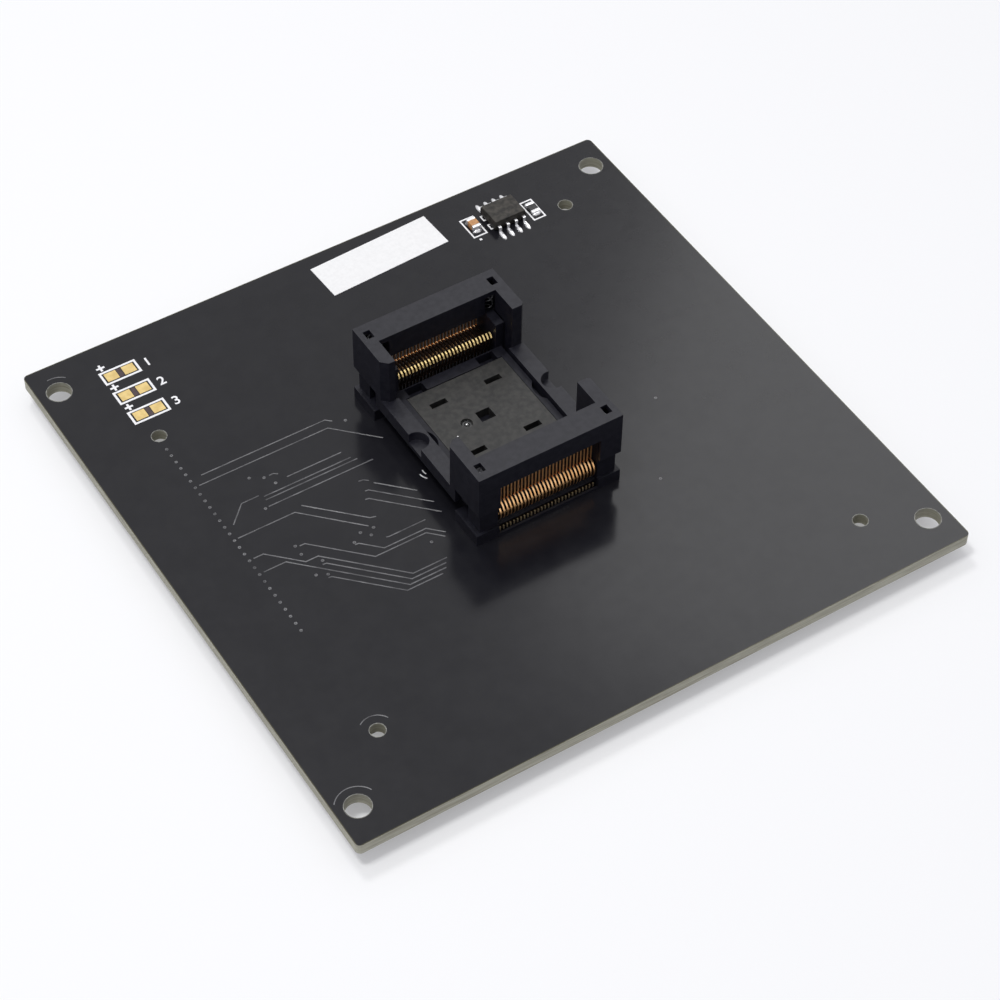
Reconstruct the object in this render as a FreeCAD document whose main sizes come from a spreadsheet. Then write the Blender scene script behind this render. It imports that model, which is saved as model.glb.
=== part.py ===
import FreeCAD, Part
import Sketcher
import math
import os
import re

# Adapter board for a device programmer: a circuit board that carries an open-top socket
# for a 56-lead thin package and plugs in through two connectors under its left and right edges.
# Origin at the middle of the footprint, on the surface that the connectors stand on.
# +X runs along the front edge, +Y to the back, +Z up. Lengths are in millimetres.

doc = FreeCAD.newDocument("ProgrammerAdapterSocket")
sheet = doc.addObject("Spreadsheet::Sheet", "Sizes")
cells_used = 0
nodes = []


def sizes(named):
    """Write each named size into its own cell of the sheet."""
    global cells_used
    for alias, number in named.items():
        cells_used += 1
        cell = "B" + str(cells_used)
        sheet.set("A" + str(cells_used), alias)
        sheet.set(cell, str(number))
        sheet.setAlias(cell, alias)
    sheet.recompute()


def bound(text):
    """Turn the plain words of an expression into references to the sheet."""
    return re.sub(r"[a-z_]\w*", lambda word: "Sizes." + word.group(), text)


def value(text):
    """Read one expression of named sizes as a number."""
    names = set(re.findall(r"[a-z_]\w*", text))
    numbers = {name: float(sheet.get(name)) for name in names}
    for name in sorted(names, key=len, reverse=True):
        text = re.sub(r"\b" + name + r"\b", repr(numbers[name]), text)
    quantity = FreeCAD.Units.Quantity(text)
    return quantity.Value


def bind(item, prop, text):
    """Tie one property of an object to the sheet."""
    item.setExpression(prop, bound(text))


def block(name, x, y, z):
    """A box between a low and a high plane on each axis."""
    box = doc.addObject("Part::Box", name)
    for length, axis, span in (("Length", "x", x), ("Width", "y", y), ("Height", "z", z)):
        low, high = span
        bind(box, length, f"({high}) - ({low})")
        bind(box, "Placement.Base." + axis, low)
    return box


def peg(name, x, y, z, diameter):
    """An upright cylinder between two heights."""
    cylinder = doc.addObject("Part::Cylinder", name)
    low, high = z
    bind(cylinder, "Radius", f"({diameter}) / 2")
    bind(cylinder, "Height", f"({high}) - ({low})")
    bind(cylinder, "Placement.Base.x", x)
    bind(cylinder, "Placement.Base.y", y)
    bind(cylinder, "Placement.Base.z", low)
    return cylinder


def facet_peg(name, x, y, z, diameter, sides=12):
    """An upright prism between two heights, with its first corner towards +X."""
    prism = doc.addObject("Part::Prism", name)
    low, high = z
    prism.Polygon = sides
    bind(prism, "Circumradius", f"({diameter}) / 2")
    bind(prism, "Height", f"({high}) - ({low})")
    bind(prism, "Placement.Base.x", x)
    bind(prism, "Placement.Base.y", y)
    bind(prism, "Placement.Base.z", low)
    return prism


def taper(name, x, y, z, x_top, y_top):
    """An upright block whose faces slope from its bottom outline to its top outline."""
    wedge = doc.addObject("Part::Wedge", name)
    wedge.Placement = FreeCAD.Placement(
        FreeCAD.Vector(0, 0, 0), FreeCAD.Rotation(FreeCAD.Vector(1, 0, 0), 90))
    bind(wedge, "Xmin", x[0])
    bind(wedge, "Xmax", x[1])
    bind(wedge, "X2min", x_top[0])
    bind(wedge, "X2max", x_top[1])
    bind(wedge, "Zmin", f"-({y[1]})")
    bind(wedge, "Zmax", f"-({y[0]})")
    bind(wedge, "Z2min", f"-({y_top[1]})")
    bind(wedge, "Z2max", f"-({y_top[0]})")
    bind(wedge, "Ymin", z[0])
    bind(wedge, "Ymax", z[1])
    return wedge


def join(name, shapes):
    """Fuse shapes into one solid and merge the faces that are flush."""
    fused = doc.addObject("Part::MultiFuse", name)
    fused.Shapes = shapes
    fused.Refine = True
    return fused


def cut(name, base, tools):
    """Take the tools away from the base."""
    result = doc.addObject("Part::Cut", name)
    result.Base = base
    if len(tools) == 1:
        result.Tool = tools[0]
    else:
        result.Tool = join(name + "Tools", tools)
    result.Refine = True
    return result


def group(name, shapes):
    """Keep like pieces together as separate solids."""
    compound = doc.addObject("Part::Compound", name)
    compound.Links = shapes
    return compound


def node(item, label):
    """Name a finished piece; its label is its file's name."""
    item.Label = label
    nodes.append(item)
    return item


def about(centre, half):
    """The span that reaches half a width to both sides of a centre."""
    return (f"{centre} - ({half})", f"{centre} + ({half})")


def outward(side, near, far):
    """The span in Y between two distances from the socket's middle: side 1 rear, -1 front."""
    if side > 0:
        return (f"socket_y + {near}", f"socket_y + {far}")
    return (f"socket_y - ({far})", f"socket_y - ({near})")


def sideways(hand, near, far):
    """The span in X between two distances from the socket's middle: hand 1 right, -1 left."""
    if hand > 0:
        return (f"socket_x + {near}", f"socket_x + {far}")
    return (f"socket_x - ({far})", f"socket_x - ({near})")


def above(low, high):
    """The span in Z between two heights over the board's top face."""
    return (f"{BOARD_TOP} + {low}", f"{BOARD_TOP} + {high}")


BOARD_TOP = "connector_height + board_thick"
ENDS = (("front", -1), ("rear", 1))
HANDS = (("left", -1), ("right", 1))

# Circuit board: glass-epoxy laminate, black solder mask, four corner holes for screws and
# four smaller guide holes, unevenly spaced so that the board plugs in only one way round.
board = {
    "board_width": 86.5,
    "board_depth": 84.4,
    "board_thick": 1.6,
    "board_corner": 0.7,
    "mount_hole": 3.2,
    "mount_inset_x": 2.85,
    "mount_inset_y": 4.8,
    "guide_hole": 1.9,
    "guide_inset": 10.1,
    "left_guide_pitch": 53.6,
    "left_guide_shift": -2.7,
    "right_guide_pitch": 66.0,
    "right_guide_shift": -0.3,
    "connector_height": 2.5,
    "socket_x": 1.45,
    "socket_y": 2.47,
    "contact_count": 28,
    "contact_pitch": 0.5,
    "contact_thick": 0.2,
    "tail_width": 0.3,
    "tail_inner_u": 12.0,
    "tail_outer_u": 13.4,
    "tail_length": 2.4,
    "tail_play": 0.06,
}
sizes(board)


def named_distance(sketch, name, kind, geometry, text):
    """Add one driving constraint and tie it to the sheet."""
    index = sketch.addConstraint(Sketcher.Constraint(kind, *geometry))
    sketch.renameConstraint(index, name)
    bind(sketch, "Constraints." + name, text)


def rectangle(sketch, number, x, y):
    """A rectangle in a sketch, held by the distances of its sides from the origin."""
    low_x, high_x, low_y, high_y = (value(text) for text in (*x, *y))
    corners = [FreeCAD.Vector(*spot, 0) for spot in (
        (low_x, low_y), (high_x, low_y), (high_x, high_y), (low_x, high_y))]
    first = 4 * number
    for step in range(4):
        sketch.addGeometry(Part.LineSegment(corners[step], corners[(step + 1) % 4]))
    for step in range(4):
        sketch.addConstraint(
            Sketcher.Constraint("Coincident", first + step, 2, first + (step + 1) % 4, 1))
        direction = "Vertical" if step % 2 else "Horizontal"
        sketch.addConstraint(Sketcher.Constraint(direction, first + step))
    for name, kind, corner, length, text in (
            ("left", "DistanceX", 0, low_x, x[0]), ("right", "DistanceX", 2, high_x, x[1]),
            ("near", "DistanceY", 0, low_y, y[0]), ("far", "DistanceY", 2, high_y, y[1])):
        named_distance(sketch, f"{name}{number}", kind,
                       (-1, 1, first + corner, 1, length), text)


def circuit_board():
    """Outline padded upwards, corners rounded, holes pocketed through."""
    body = doc.addObject("PartDesign::Body", "BoardBody")
    plane = next(item for item in body.Origin.OriginFeatures if item.Role == "XY_Plane")

    outline = body.newObject("Sketcher::SketchObject", "BoardOutline")
    outline.AttachmentSupport = (plane, [""])
    outline.MapMode = "FlatFace"
    half_x = value("board_width / 2")
    half_y = value("board_depth / 2")
    corners = [FreeCAD.Vector(sx * half_x, sy * half_y, 0)
               for sx, sy in ((-1, -1), (1, -1), (1, 1), (-1, 1))]
    for number in range(4):
        outline.addGeometry(Part.LineSegment(corners[number], corners[(number + 1) % 4]))
    for number in range(4):
        outline.addConstraint(
            Sketcher.Constraint("Coincident", number, 2, (number + 1) % 4, 1))
    for number, direction in enumerate(("Horizontal", "Vertical", "Horizontal", "Vertical")):
        outline.addConstraint(Sketcher.Constraint(direction, number))
    outline.addConstraint(Sketcher.Constraint("Symmetric", 0, 1, 1, 2, -1, 1))
    named_distance(outline, "width", "DistanceX", (0, 1, 0, 2, 2 * half_x), "board_width")
    named_distance(outline, "depth", "DistanceY", (1, 1, 1, 2, 2 * half_y), "board_depth")

    pad = body.newObject("PartDesign::Pad", "BoardPad")
    pad.Profile = outline
    bind(pad, "Length", "board_thick")
    doc.recompute()

    rounding = body.newObject("PartDesign::Fillet", "BoardCorners")
    upright = [
        f"Edge{number}" for number, edge in enumerate(pad.Shape.Edges, 1)
        if abs(edge.BoundBox.ZLength - value("board_thick")) < 1e-6]
    rounding.Base = (pad, upright)
    bind(rounding, "Radius", "board_corner")
    doc.recompute()

    holes = body.newObject("Sketcher::SketchObject", "BoardHoles")
    holes.AttachmentSupport = (plane, [""])
    holes.MapMode = "FlatFace"
    spots = [
        (f"{sx} * (board_width / 2 - mount_inset_x)",
         f"{sy} * (board_depth / 2 - mount_inset_y)", "mount_hole")
        for sx in (-1, 1) for sy in (-1, 1)]
    for hand, sx in HANDS:
        for sy in (-1, 1):
            spots.append((
                f"{sx} * (board_width / 2 - guide_inset)",
                f"{hand}_guide_shift + {sy} * {hand}_guide_pitch / 2",
                "guide_hole"))
    for number, (x, y, diameter) in enumerate(spots):
        centre = FreeCAD.Vector(value(x), value(y), 0)
        holes.addGeometry(Part.Circle(centre, FreeCAD.Vector(0, 0, 1), value(diameter) / 2))
        across = (-1, 1, number, 3)
        named_distance(holes, f"x{number}", "DistanceX", (*across, centre.x), x)
        named_distance(holes, f"y{number}", "DistanceY", (*across, centre.y), y)
        named_distance(holes, f"r{number}", "Radius", (number, value(diameter) / 2),
                       f"{diameter} / 2")
    drilling = body.newObject("PartDesign::Pocket", "BoardDrilling")
    drilling.Profile = holes
    drilling.Reversed = True
    drilling.Type = 1
    doc.recompute()

    seeds = body.newObject("Sketcher::SketchObject", "TailHoles")
    seeds.AttachmentSupport = (plane, [""])
    seeds.MapMode = "FlatFace"
    first = "socket_x - (contact_count - 1) * contact_pitch / 2"
    for number, (side, step, tail) in enumerate((
            (-1, 0, "tail_inner_u"), (-1, 1, "tail_outer_u"),
            (1, 0, "tail_inner_u"), (1, 1, "tail_outer_u"))):
        rectangle(
            seeds, number,
            about(f"{first} + {step} * contact_pitch", "(contact_thick + tail_play) / 2"),
            about(f"socket_y + {side} * {tail}", "(tail_width + tail_play) / 2"))
    punching = body.newObject("PartDesign::Pocket", "TailPunching")
    punching.Profile = seeds
    punching.Reversed = True
    punching.Type = 1
    doc.recompute()
    row = body.newObject("PartDesign::LinearPattern", "TailRows")
    row.Originals = [punching]
    row.Direction = (seeds, ["H_Axis"])
    bind(row, "Length", "(contact_count - 2) * contact_pitch")
    bind(row, "Occurrences", "contact_count / 2")
    body.Tip = row
    bind(body, "Placement.Base.z", "connector_height")
    doc.recompute()
    node(body, "circuit_board")


circuit_board()

# Bare copper pads for three indicator lamps that this board leaves unfitted.
pads = {
    "pad_length": 1.65,
    "pad_width": 1.5,
    "pad_spacing": 2.45,
    "pad_inset_x": 11.0,
    "pad_inset_y": 9.75,
    "pad_group_pitch": 3.95,
    "copper_thick": 0.05,
}
sizes(pads)


def indicator_pads():
    """Three pairs of pads in a column."""
    pads = []
    for row in (-1, 0, 1):
        for column in (-1, 1):
            x = about(f"pad_inset_x - board_width / 2 + {column} * pad_spacing / 2",
                      "pad_length / 2")
            y = about(f"board_depth / 2 - pad_inset_y + {row} * pad_group_pitch",
                      "pad_width / 2")
            name = f"Pad{row + 1}{(column + 1) // 2}"
            pads.append(block(name, x, y, (BOARD_TOP, f"{BOARD_TOP} + copper_thick")))
    node(group("IndicatorPads", pads), "indicator_pads")


indicator_pads()

# Blank paper label stuck on by hand, so it sits slightly askew.
label = {
    "label_length": 18.05,
    "label_width": 5.9,
    "label_thick": 0.1,
    "label_x": 6.8,
    "label_inset": 4.82,
    "label_turn": 2.9,
}
sizes(label)


def part_label():
    """A thin sheet turned about its own middle."""
    sheet_of_paper = block(
        "PaperLabel",
        about("0", "label_length / 2"),
        about("0", "label_width / 2"),
        ("0", "label_thick"))
    carried = group("LabelOnBoard", [sheet_of_paper])
    bind(carried, "Placement.Base.x", "label_x")
    bind(carried, "Placement.Base.y", "board_depth / 2 - label_inset")
    bind(carried, "Placement.Base.z", BOARD_TOP)
    bind(carried, "Placement.Rotation.Angle", "label_turn")
    node(carried, "paper_label")


part_label()

# Eight-lead memory chip: moulded body with drafted sides, gull-wing leads.
chip_sizes = {
    "chip_inset_x": 18.55,
    "chip_inset_y": 7.1,
    "chip_length": 4.9,
    "chip_width": 3.9,
    "chip_gap": 0.15,
    "chip_half_height": 0.75,
    "chip_draft": 0.12,
    "lead_pitch": 1.27,
    "lead_width": 0.42,
    "lead_thick": 0.2,
    "lead_reach": 1.1,
    "lead_foot": 0.6,
}
sizes(chip_sizes)


CHIP_X = "board_width / 2 - chip_inset_x"
CHIP_Y = "board_depth / 2 - chip_inset_y"


def chip():
    """Two tapered halves meet at the parting line, where the leads come out."""
    parting = f"{BOARD_TOP} + chip_gap + chip_half_height"
    wide = (about(CHIP_X, "chip_length / 2"), about(CHIP_Y, "chip_width / 2"))
    narrow = (about(CHIP_X, "chip_length / 2 - chip_draft"),
              about(CHIP_Y, "chip_width / 2 - chip_draft"))
    lower = taper("ChipLower", *narrow, (f"{BOARD_TOP} + chip_gap", parting), *wide)
    upper = taper("ChipUpper", *wide, (parting, f"{parting} + chip_half_height"), *narrow)
    node(join("ChipBody", [lower, upper]), "chip_body")

    leads = []
    for side in (-1, 1):
        for number in range(4):
            x = about(f"{CHIP_X} + {number - 1.5} * lead_pitch", "lead_width / 2")
            start = "chip_width / 2"
            knee = "chip_width / 2 + lead_reach - lead_foot"
            toe = "chip_width / 2 + lead_reach"
            name = f"Lead{side + 1}{number}"

            def reach(near, far, facing=side):
                if facing > 0:
                    return (f"{CHIP_Y} + {near}", f"{CHIP_Y} + {far}")
                return (f"{CHIP_Y} - ({far})", f"{CHIP_Y} - ({near})")

            shoulder = block(
                name + "Shoulder", x, reach(start, knee), (f"{parting} - lead_thick / 2",
                                                           f"{parting} + lead_thick / 2"))
            drop = block(
                name + "Drop", x, reach(f"{knee} - lead_thick", knee),
                (BOARD_TOP, f"{parting} + lead_thick / 2"))
            foot = block(
                name + "Foot", x, reach(f"{knee} - lead_thick", toe),
                (BOARD_TOP, f"{BOARD_TOP} + lead_thick"))
            leads.append(join(name, [shoulder, drop, foot]))
    node(group("ChipLeads", leads), "chip_leads")


chip()

# Chip capacitor and chip resistor: a ceramic block with plated metal ends.
passives = {
    "passive_length": 2.0,
    "passive_width": 1.25,
    "passive_end": 0.5,
    "capacitor_height": 0.9,
    "capacitor_shift_x": -4.35,
    "capacitor_shift_y": 0.5,
    "resistor_height": 0.5,
    "resistor_shift_x": 4.2,
    "resistor_shift_y": -0.8,
}
sizes(passives)


def passive(part):
    """The ceramic between the two ends, and the ends as a pair."""
    x = about(f"{CHIP_X} + {part}_shift_x", "passive_width / 2")
    middle = f"{CHIP_Y} + {part}_shift_y"
    z = (BOARD_TOP, f"{BOARD_TOP} + {part}_height")
    name = part.capitalize()
    ceramic = block(name + "Body", x, about(middle, "passive_length / 2 - passive_end"), z)
    front = block(name + "FrontEnd", x, (f"{middle} - passive_length / 2",
                                         f"{middle} - passive_length / 2 + passive_end"), z)
    rear = block(name + "RearEnd", x, (f"{middle} + passive_length / 2 - passive_end",
                                       f"{middle} + passive_length / 2"), z)
    node(ceramic, part + "_body")
    node(group(name + "Ends", [front, rear]), part + "_ends")


passive("capacitor")
passive("resistor")

# Socket base: black moulding soldered to the board. A floor with a sunk seat, four finger
# recesses beside its ends, tall cheeks at the four corners that guide the cover, and an open
# well at each end for the contacts, with a shelf over their roots. Distances run from the
# socket's middle, heights from the board's top.
base = {
    "base_half_width": 10.4,
    "base_half_length": 14.65,
    "floor_height": 4.2,
    "floor_half_width": 8.0,
    "floor_half_length": 9.05,
    "flange_height": 1.8,
    "flange_start": 9.6,
    "well_half_width": 7.15,
    "cheek_height": 8.2,
    "cheek_outer": 8.4,
    "cheek_end": 14.3,
    "post_start": 11.7,
    "post_outer": 9.8,
    "sill_thick": 0.3,
    "sill_height": 0.45,
    "shelf_start": 12.9,
    "shelf_end": 13.9,
    "shelf_low": 1.0,
    "shelf_high": 1.3,
    "notch_radius": 2.35,
    "notch_x": 9.6,
    "notch_floor": 3.3,
    "recess_near": 3.95,
    "recess_far": 6.45,
    "recess_end": 8.87,
    "seat_half_width": 7.0,
    "seat_half_length": 7.3,
    "seat_side_gap": 0.04,
    "seat_end_gap": 0.12,
    "seat_thick": 1.4,
    "spring_x": 8.35,
    "spring_u": 12.95,
    "spring_outer": 1.5,
    "spring_room": 0.3,
    "spring_seat": 2.0,
}
sizes(base)


def socket_base():
    """Everything moulded in one piece, with the seat, recesses and spring pockets cut last."""
    solids = [
        block("BaseFloor", about("socket_x", "floor_half_width"),
              about("socket_y", "floor_half_length"), above("0", "floor_height")),
    ]
    for hand, way in HANDS:
        for end, side in ENDS:
            spot = end + hand
            solids.append(block(
                "BaseFlange" + spot, sideways(way, "well_half_width", "base_half_width"),
                outward(side, "flange_start", "base_half_length"), above("0", "flange_height")))
            solids.append(block(
                "BaseCheek" + spot, sideways(way, "well_half_width", "cheek_outer"),
                outward(side, "floor_half_length", "cheek_end"), above("0", "cheek_height")))
            solids.append(block(
                "BasePost" + spot, sideways(way, "well_half_width", "post_outer"),
                outward(side, "post_start", "cheek_end"), above("0", "cheek_height")))
    for end, side in ENDS:
        solids.append(block(
            "BaseSill" + end, about("socket_x", "well_half_width"),
            outward(side, "base_half_length - sill_thick", "base_half_length"),
            above("0", "sill_height")))
        solids.append(block(
            "BaseShelf" + end, about("socket_x", "well_half_width"),
            outward(side, "shelf_start", "shelf_end"), above("shelf_low", "shelf_high")))

    sunk = above("floor_height - seat_thick", "floor_height + 1")
    tools = [
        block("SeatPocket", about("socket_x", "seat_half_width + seat_side_gap"),
              about("socket_y", "seat_half_length + seat_end_gap"), sunk),
    ]
    for hand, way in HANDS:
        tools.append(peg(
            f"BaseNotch{hand}", f"socket_x + {way} * notch_x", "socket_y",
            above("notch_floor", "floor_height + 1"), "2 * notch_radius"))
        for end, side in ENDS:
            tools.append(block(
                f"Recess{end}{hand}", sideways(way, "recess_near", "recess_far"),
                outward(side, "seat_half_length", "recess_end"), sunk))
            tools.append(peg(
                f"SpringPocket{end}{hand}", f"socket_x + {way} * spring_x",
                f"socket_y + {side} * spring_u", above("spring_seat", "cheek_height + 1"),
                "spring_outer + spring_room"))
    node(cut("SocketBase", join("BaseMoulding", solids), tools), "socket_base")


socket_base()

# Seat plate: drops into the base's pocket and carries the package's body.
# Four air slots, a square middle opening and a round ejector mark.
plate = {
    "slot_length": 2.3,
    "slot_width": 0.8,
    "slot_spread_x": 3.98,
    "slot_spread_y": 4.64,
    "middle_length": 2.0,
    "middle_width": 1.75,
    "ejector_mark": 1.5,
    "ejector_depth": 0.3,
    "ejector_x": -2.75,
}
sizes(plate)


def seat_plate():
    """A flat insert; the openings go right through, the ejector mark is shallow."""
    plate = block(
        "SeatBlank", about("socket_x", "seat_half_width"), about("socket_y", "seat_half_length"),
        above("floor_height - seat_thick", "floor_height"))
    through = above("floor_height - seat_thick - 1", "floor_height + 1")
    tools = [
        block("SeatMiddle", about("socket_x", "middle_length / 2"),
              about("socket_y", "middle_width / 2"), through),
        peg("SeatMark", "socket_x + ejector_x", "socket_y",
            above("floor_height - ejector_depth", "floor_height + 1"), "ejector_mark"),
    ]
    for sx in (-1, 1):
        for sy in (-1, 1):
            tools.append(block(
                f"SeatSlot{sx + 1}{sy + 1}",
                about(f"socket_x + {sx} * slot_spread_x", "slot_length / 2"),
                about(f"socket_y + {sy} * slot_spread_y", "slot_width / 2"), through))
    node(cut("SeatPlate", plate, tools), "seat_plate")


seat_plate()

# Cover: the part that is pressed. Two tall bridges over the contacts, joined by low links
# along the sides. A sloped cam inside each bridge pushes the contact levers outwards.
cover = {
    "cover_half_width": 10.25,
    "cover_half_length": 14.8,
    "cover_height": 11.9,
    "cover_plate": 0.8,
    "bridge_inner": 11.35,
    "arm_start": 7.35,
    "arm_inner": 8.5,
    "arm_bottom": 8.3,
    "left_arm_corner": 0.85,
    "right_arm_corner": 0.35,
    "wall_thick": 0.36,
    "skirt_bottom": 5.3,
    "window_half_width": 7.15,
    "window_top": 8.95,
    "cam_half_width": 7.0,
    "cam_bottom": 8.3,
    "cam_edge": 12.95,
    "cam_rise": 0.99,
    "link_inner": 8.1,
    "link_top": 5.0,
    "link_bottom": 3.0,
    "foot_end": 9.4,
    "scoop_x": 9.9,
    "scoop_radius": 1.5,
    "scoop_floor": 3.6,
    "vent_length": 1.35,
    "vent_width": 0.95,
    "vent_x": 9.0,
    "cover_stroke": 2.5,
}
sizes(cover)


def socket_cover():
    """Bridges, arms, skirts and links fused; windows, vents, scoops and corners cut."""
    plate_bottom = "cover_height - cover_plate"
    solids = []
    tools = []
    for end, side in ENDS:
        solids.append(block(
            "BridgePlate" + end, about("socket_x", "cover_half_width"),
            outward(side, "bridge_inner", "cover_half_length"),
            above(plate_bottom, "cover_height")))
        solids.append(block(
            "BridgeWall" + end, about("socket_x", "cover_half_width"),
            outward(side, "cover_half_length - wall_thick", "cover_half_length"),
            above("skirt_bottom", "cover_height")))
        solids.append(taper(
            "BridgeCam" + end, about("socket_x", "cam_half_width"),
            outward(side, "bridge_inner", "cam_edge"), above("cam_bottom", plate_bottom),
            about("socket_x", "cam_half_width"),
            outward(side, "bridge_inner", "cam_edge + cam_rise")))
        tools.append(block(
            "Window" + end, about("socket_x", "window_half_width"),
            outward(side, "cover_half_length - wall_thick - 0.1", "cover_half_length + 1"),
            above("skirt_bottom - 1", "window_top")))
        for hand, way in HANDS:
            spot = end + hand
            solids.append(block(
                "Arm" + spot, sideways(way, "arm_inner", "cover_half_width"),
                outward(side, "arm_start", "bridge_inner + 0.1"),
                above("arm_bottom", "cover_height")))
            solids.append(block(
                "Skirt" + spot, sideways(way, "cover_half_width - wall_thick",
                                         "cover_half_width"),
                outward(side, "arm_start", "cover_half_length"),
                above("skirt_bottom", "cover_height")))
            solids.append(block(
                "ArmFoot" + spot, sideways(way, "arm_inner", "cover_half_width"),
                outward(side, "arm_start", "foot_end"), above("link_bottom", "cover_height")))
            tools.append(facet_peg(
                "ArmCorner" + spot, f"socket_x + {way} * cover_half_width",
                f"socket_y + {side} * arm_start", above("link_top", "cover_height + 1"),
                f"2 * {hand}_arm_corner", 4))
            tools.append(block(
                "Vent" + spot, about(f"socket_x + {way} * vent_x", "vent_width / 2"),
                about(f"socket_y + {side} * spring_u", "vent_length / 2"),
                above(f"{plate_bottom} - 0.1", "cover_height + 1")))
    for hand, way in HANDS:
        solids.append(block(
            "Link" + hand, sideways(way, "link_inner", "cover_half_width"),
            about("socket_y", "arm_start + 0.1"), above("link_bottom", "link_top")))
        tools.append(peg(
            f"LinkScoop{hand}", f"socket_x + {way} * scoop_x", "socket_y",
            above("scoop_floor", "link_top + 1"), "2 * scoop_radius"))
    node(cut("SocketCover", join("CoverMoulding", solids), tools), "socket_cover")


socket_cover()

# Contacts: thin strips standing on edge, 28 at each end. Each strip is a fixed root with a
# soldered tail and a lower pad, a C-shaped spring, and a lever with a hooked nose that clamps
# the package's lead from above. Profiles are drawn as (distance outwards, height).
contact = {
    "root_bottom": 0.35,
    "root_top": 0.95,
    "root_inner_u": 9.95,
    "root_outer_u": 14.2,
    "spring_centre_u": 12.75,
    "spring_centre_height": 3.2,
    "spring_radius": 1.45,
    "spring_strip": 0.3,
    "riser_width": 0.3,
    "pad_height": 4.2,
    "arm_thick": 0.36,
    "lever_outer_u": 13.4,
    "lever_width": 0.35,
    "lever_top": 8.2,
    "nose_u": 9.38,
    "nose_top": 6.5,
    "neck_u": 10.8,
    "tip_u": 9.8,
    "tip_width": 0.2,
    "tip_height": 4.28,
    "pivot_u": 12.9,
    "pivot_height": 2.3,
    "lever_swing": 8.0,
}
sizes(contact)


def strip(side, points, number):
    """One flat profile, thickened along X at its place in the row."""
    middle = value("socket_y")
    ground = value(BOARD_TOP)
    pitch = value("contact_pitch")
    thick = value("contact_thick")
    first = value("socket_x - (contact_count - 1) * contact_pitch / 2")
    x = first + number * pitch - thick / 2
    vertices = [FreeCAD.Vector(x, middle + side * u, ground + height) for u, height in points]
    face = Part.Face(Part.makePolygon(vertices + vertices[:1]))
    return face.extrude(FreeCAD.Vector(thick, 0, 0))


def row_of(name, label, shapes):
    """Store a row of like strips as one piece group."""
    feature = doc.addObject("Part::Feature", name)
    feature.Shape = Part.makeCompound(shapes)
    node(feature, label)


def root_profile(tail_u):
    """Tail, root bar, riser to the spring, and the post with the lower pad."""
    half_tail = value("tail_width / 2")
    bottom = value("root_bottom")
    top = value("root_top")
    inner = value("root_inner_u")
    riser = value("riser_width")
    centre = value("spring_centre_u")
    riser_top = value("spring_centre_height - spring_radius + spring_strip / 2")
    pad = value("pad_height")
    return [
        (inner, bottom),
        (tail_u - half_tail, bottom),
        (tail_u - half_tail, -value("tail_length")),
        (tail_u + half_tail, -value("tail_length")),
        (tail_u + half_tail, bottom),
        (value("root_outer_u"), bottom),
        (value("root_outer_u"), top),
        (centre, top),
        (centre, riser_top),
        (centre - riser, riser_top),
        (centre - riser, top),
        (inner + riser, top),
        (inner + riser, pad),
        (inner - riser, pad),
        (inner, pad - riser),
    ]


def spring_profile():
    """Half a ring from the riser round to the lever's arm, bulging outwards."""
    centre = value("spring_centre_u")
    height = value("spring_centre_height")
    radius = value("spring_radius")
    half = value("spring_strip / 2")
    steps = 5
    angles = [math.radians(-90 + 180 * step / steps) for step in range(steps + 1)]
    outer = [(centre + (radius + half) * math.cos(a), height + (radius + half) * math.sin(a))
             for a in angles]
    inner = [(centre + (radius - half) * math.cos(a), height + (radius - half) * math.sin(a))
             for a in angles]
    return outer + inner[::-1]


def lever_profile():
    """Upright lever, arm over the spring, neck, nose and tip."""
    outer = value("lever_outer_u")
    width = value("lever_width")
    low = value("spring_centre_height + spring_radius + spring_strip / 2")
    high = low + value("arm_thick")
    top = value("lever_top")
    nose = value("nose_u")
    nose_top = value("nose_top")
    tip = value("tip_u")
    tip_width = value("tip_width")
    tip_height = value("tip_height")
    neck = value("neck_u")
    return [
        (outer, low),
        (outer, top),
        (outer - width, top),
        (outer - width, high),
        (neck, high),
        (neck - 0.5, nose_top - 0.25),
        (nose + 0.57, nose_top),
        (nose + 0.22, nose_top - 0.15),
        (nose, nose_top - 0.55),
        (nose + 0.12, nose_top - 0.9),
        (tip, tip_height),
        (tip + tip_width, tip_height),
        (nose + 0.47, nose_top - 0.75),
        (neck - 0.45, low),
    ]


def contacts():
    """Both ends: roots fixed in the base, springs, and the levers that the cover moves."""
    count = int(value("contact_count"))
    tails = (value("tail_inner_u"), value("tail_outer_u"))
    for end, side in ENDS:
        row_of(f"Roots{end}", f"{end}_contact_roots",
               [strip(side, root_profile(tails[n % 2]), n) for n in range(count)])
        row_of(f"Springs{end}", f"{end}_contact_springs",
               [strip(side, spring_profile(), n) for n in range(count)])
        row_of(f"Levers{end}", f"{end}_contact_levers",
               [strip(side, lever_profile(), n) for n in range(count)])


contacts()

# Contact combs: a slotted bar in each well keeps the strips at their pitch.
comb = {
    "comb_start": 10.6,
    "comb_end": 12.4,
    "comb_height": 2.2,
    "comb_slot_height": 1.05,
    "comb_play": 0.04,
}
sizes(comb)


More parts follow.
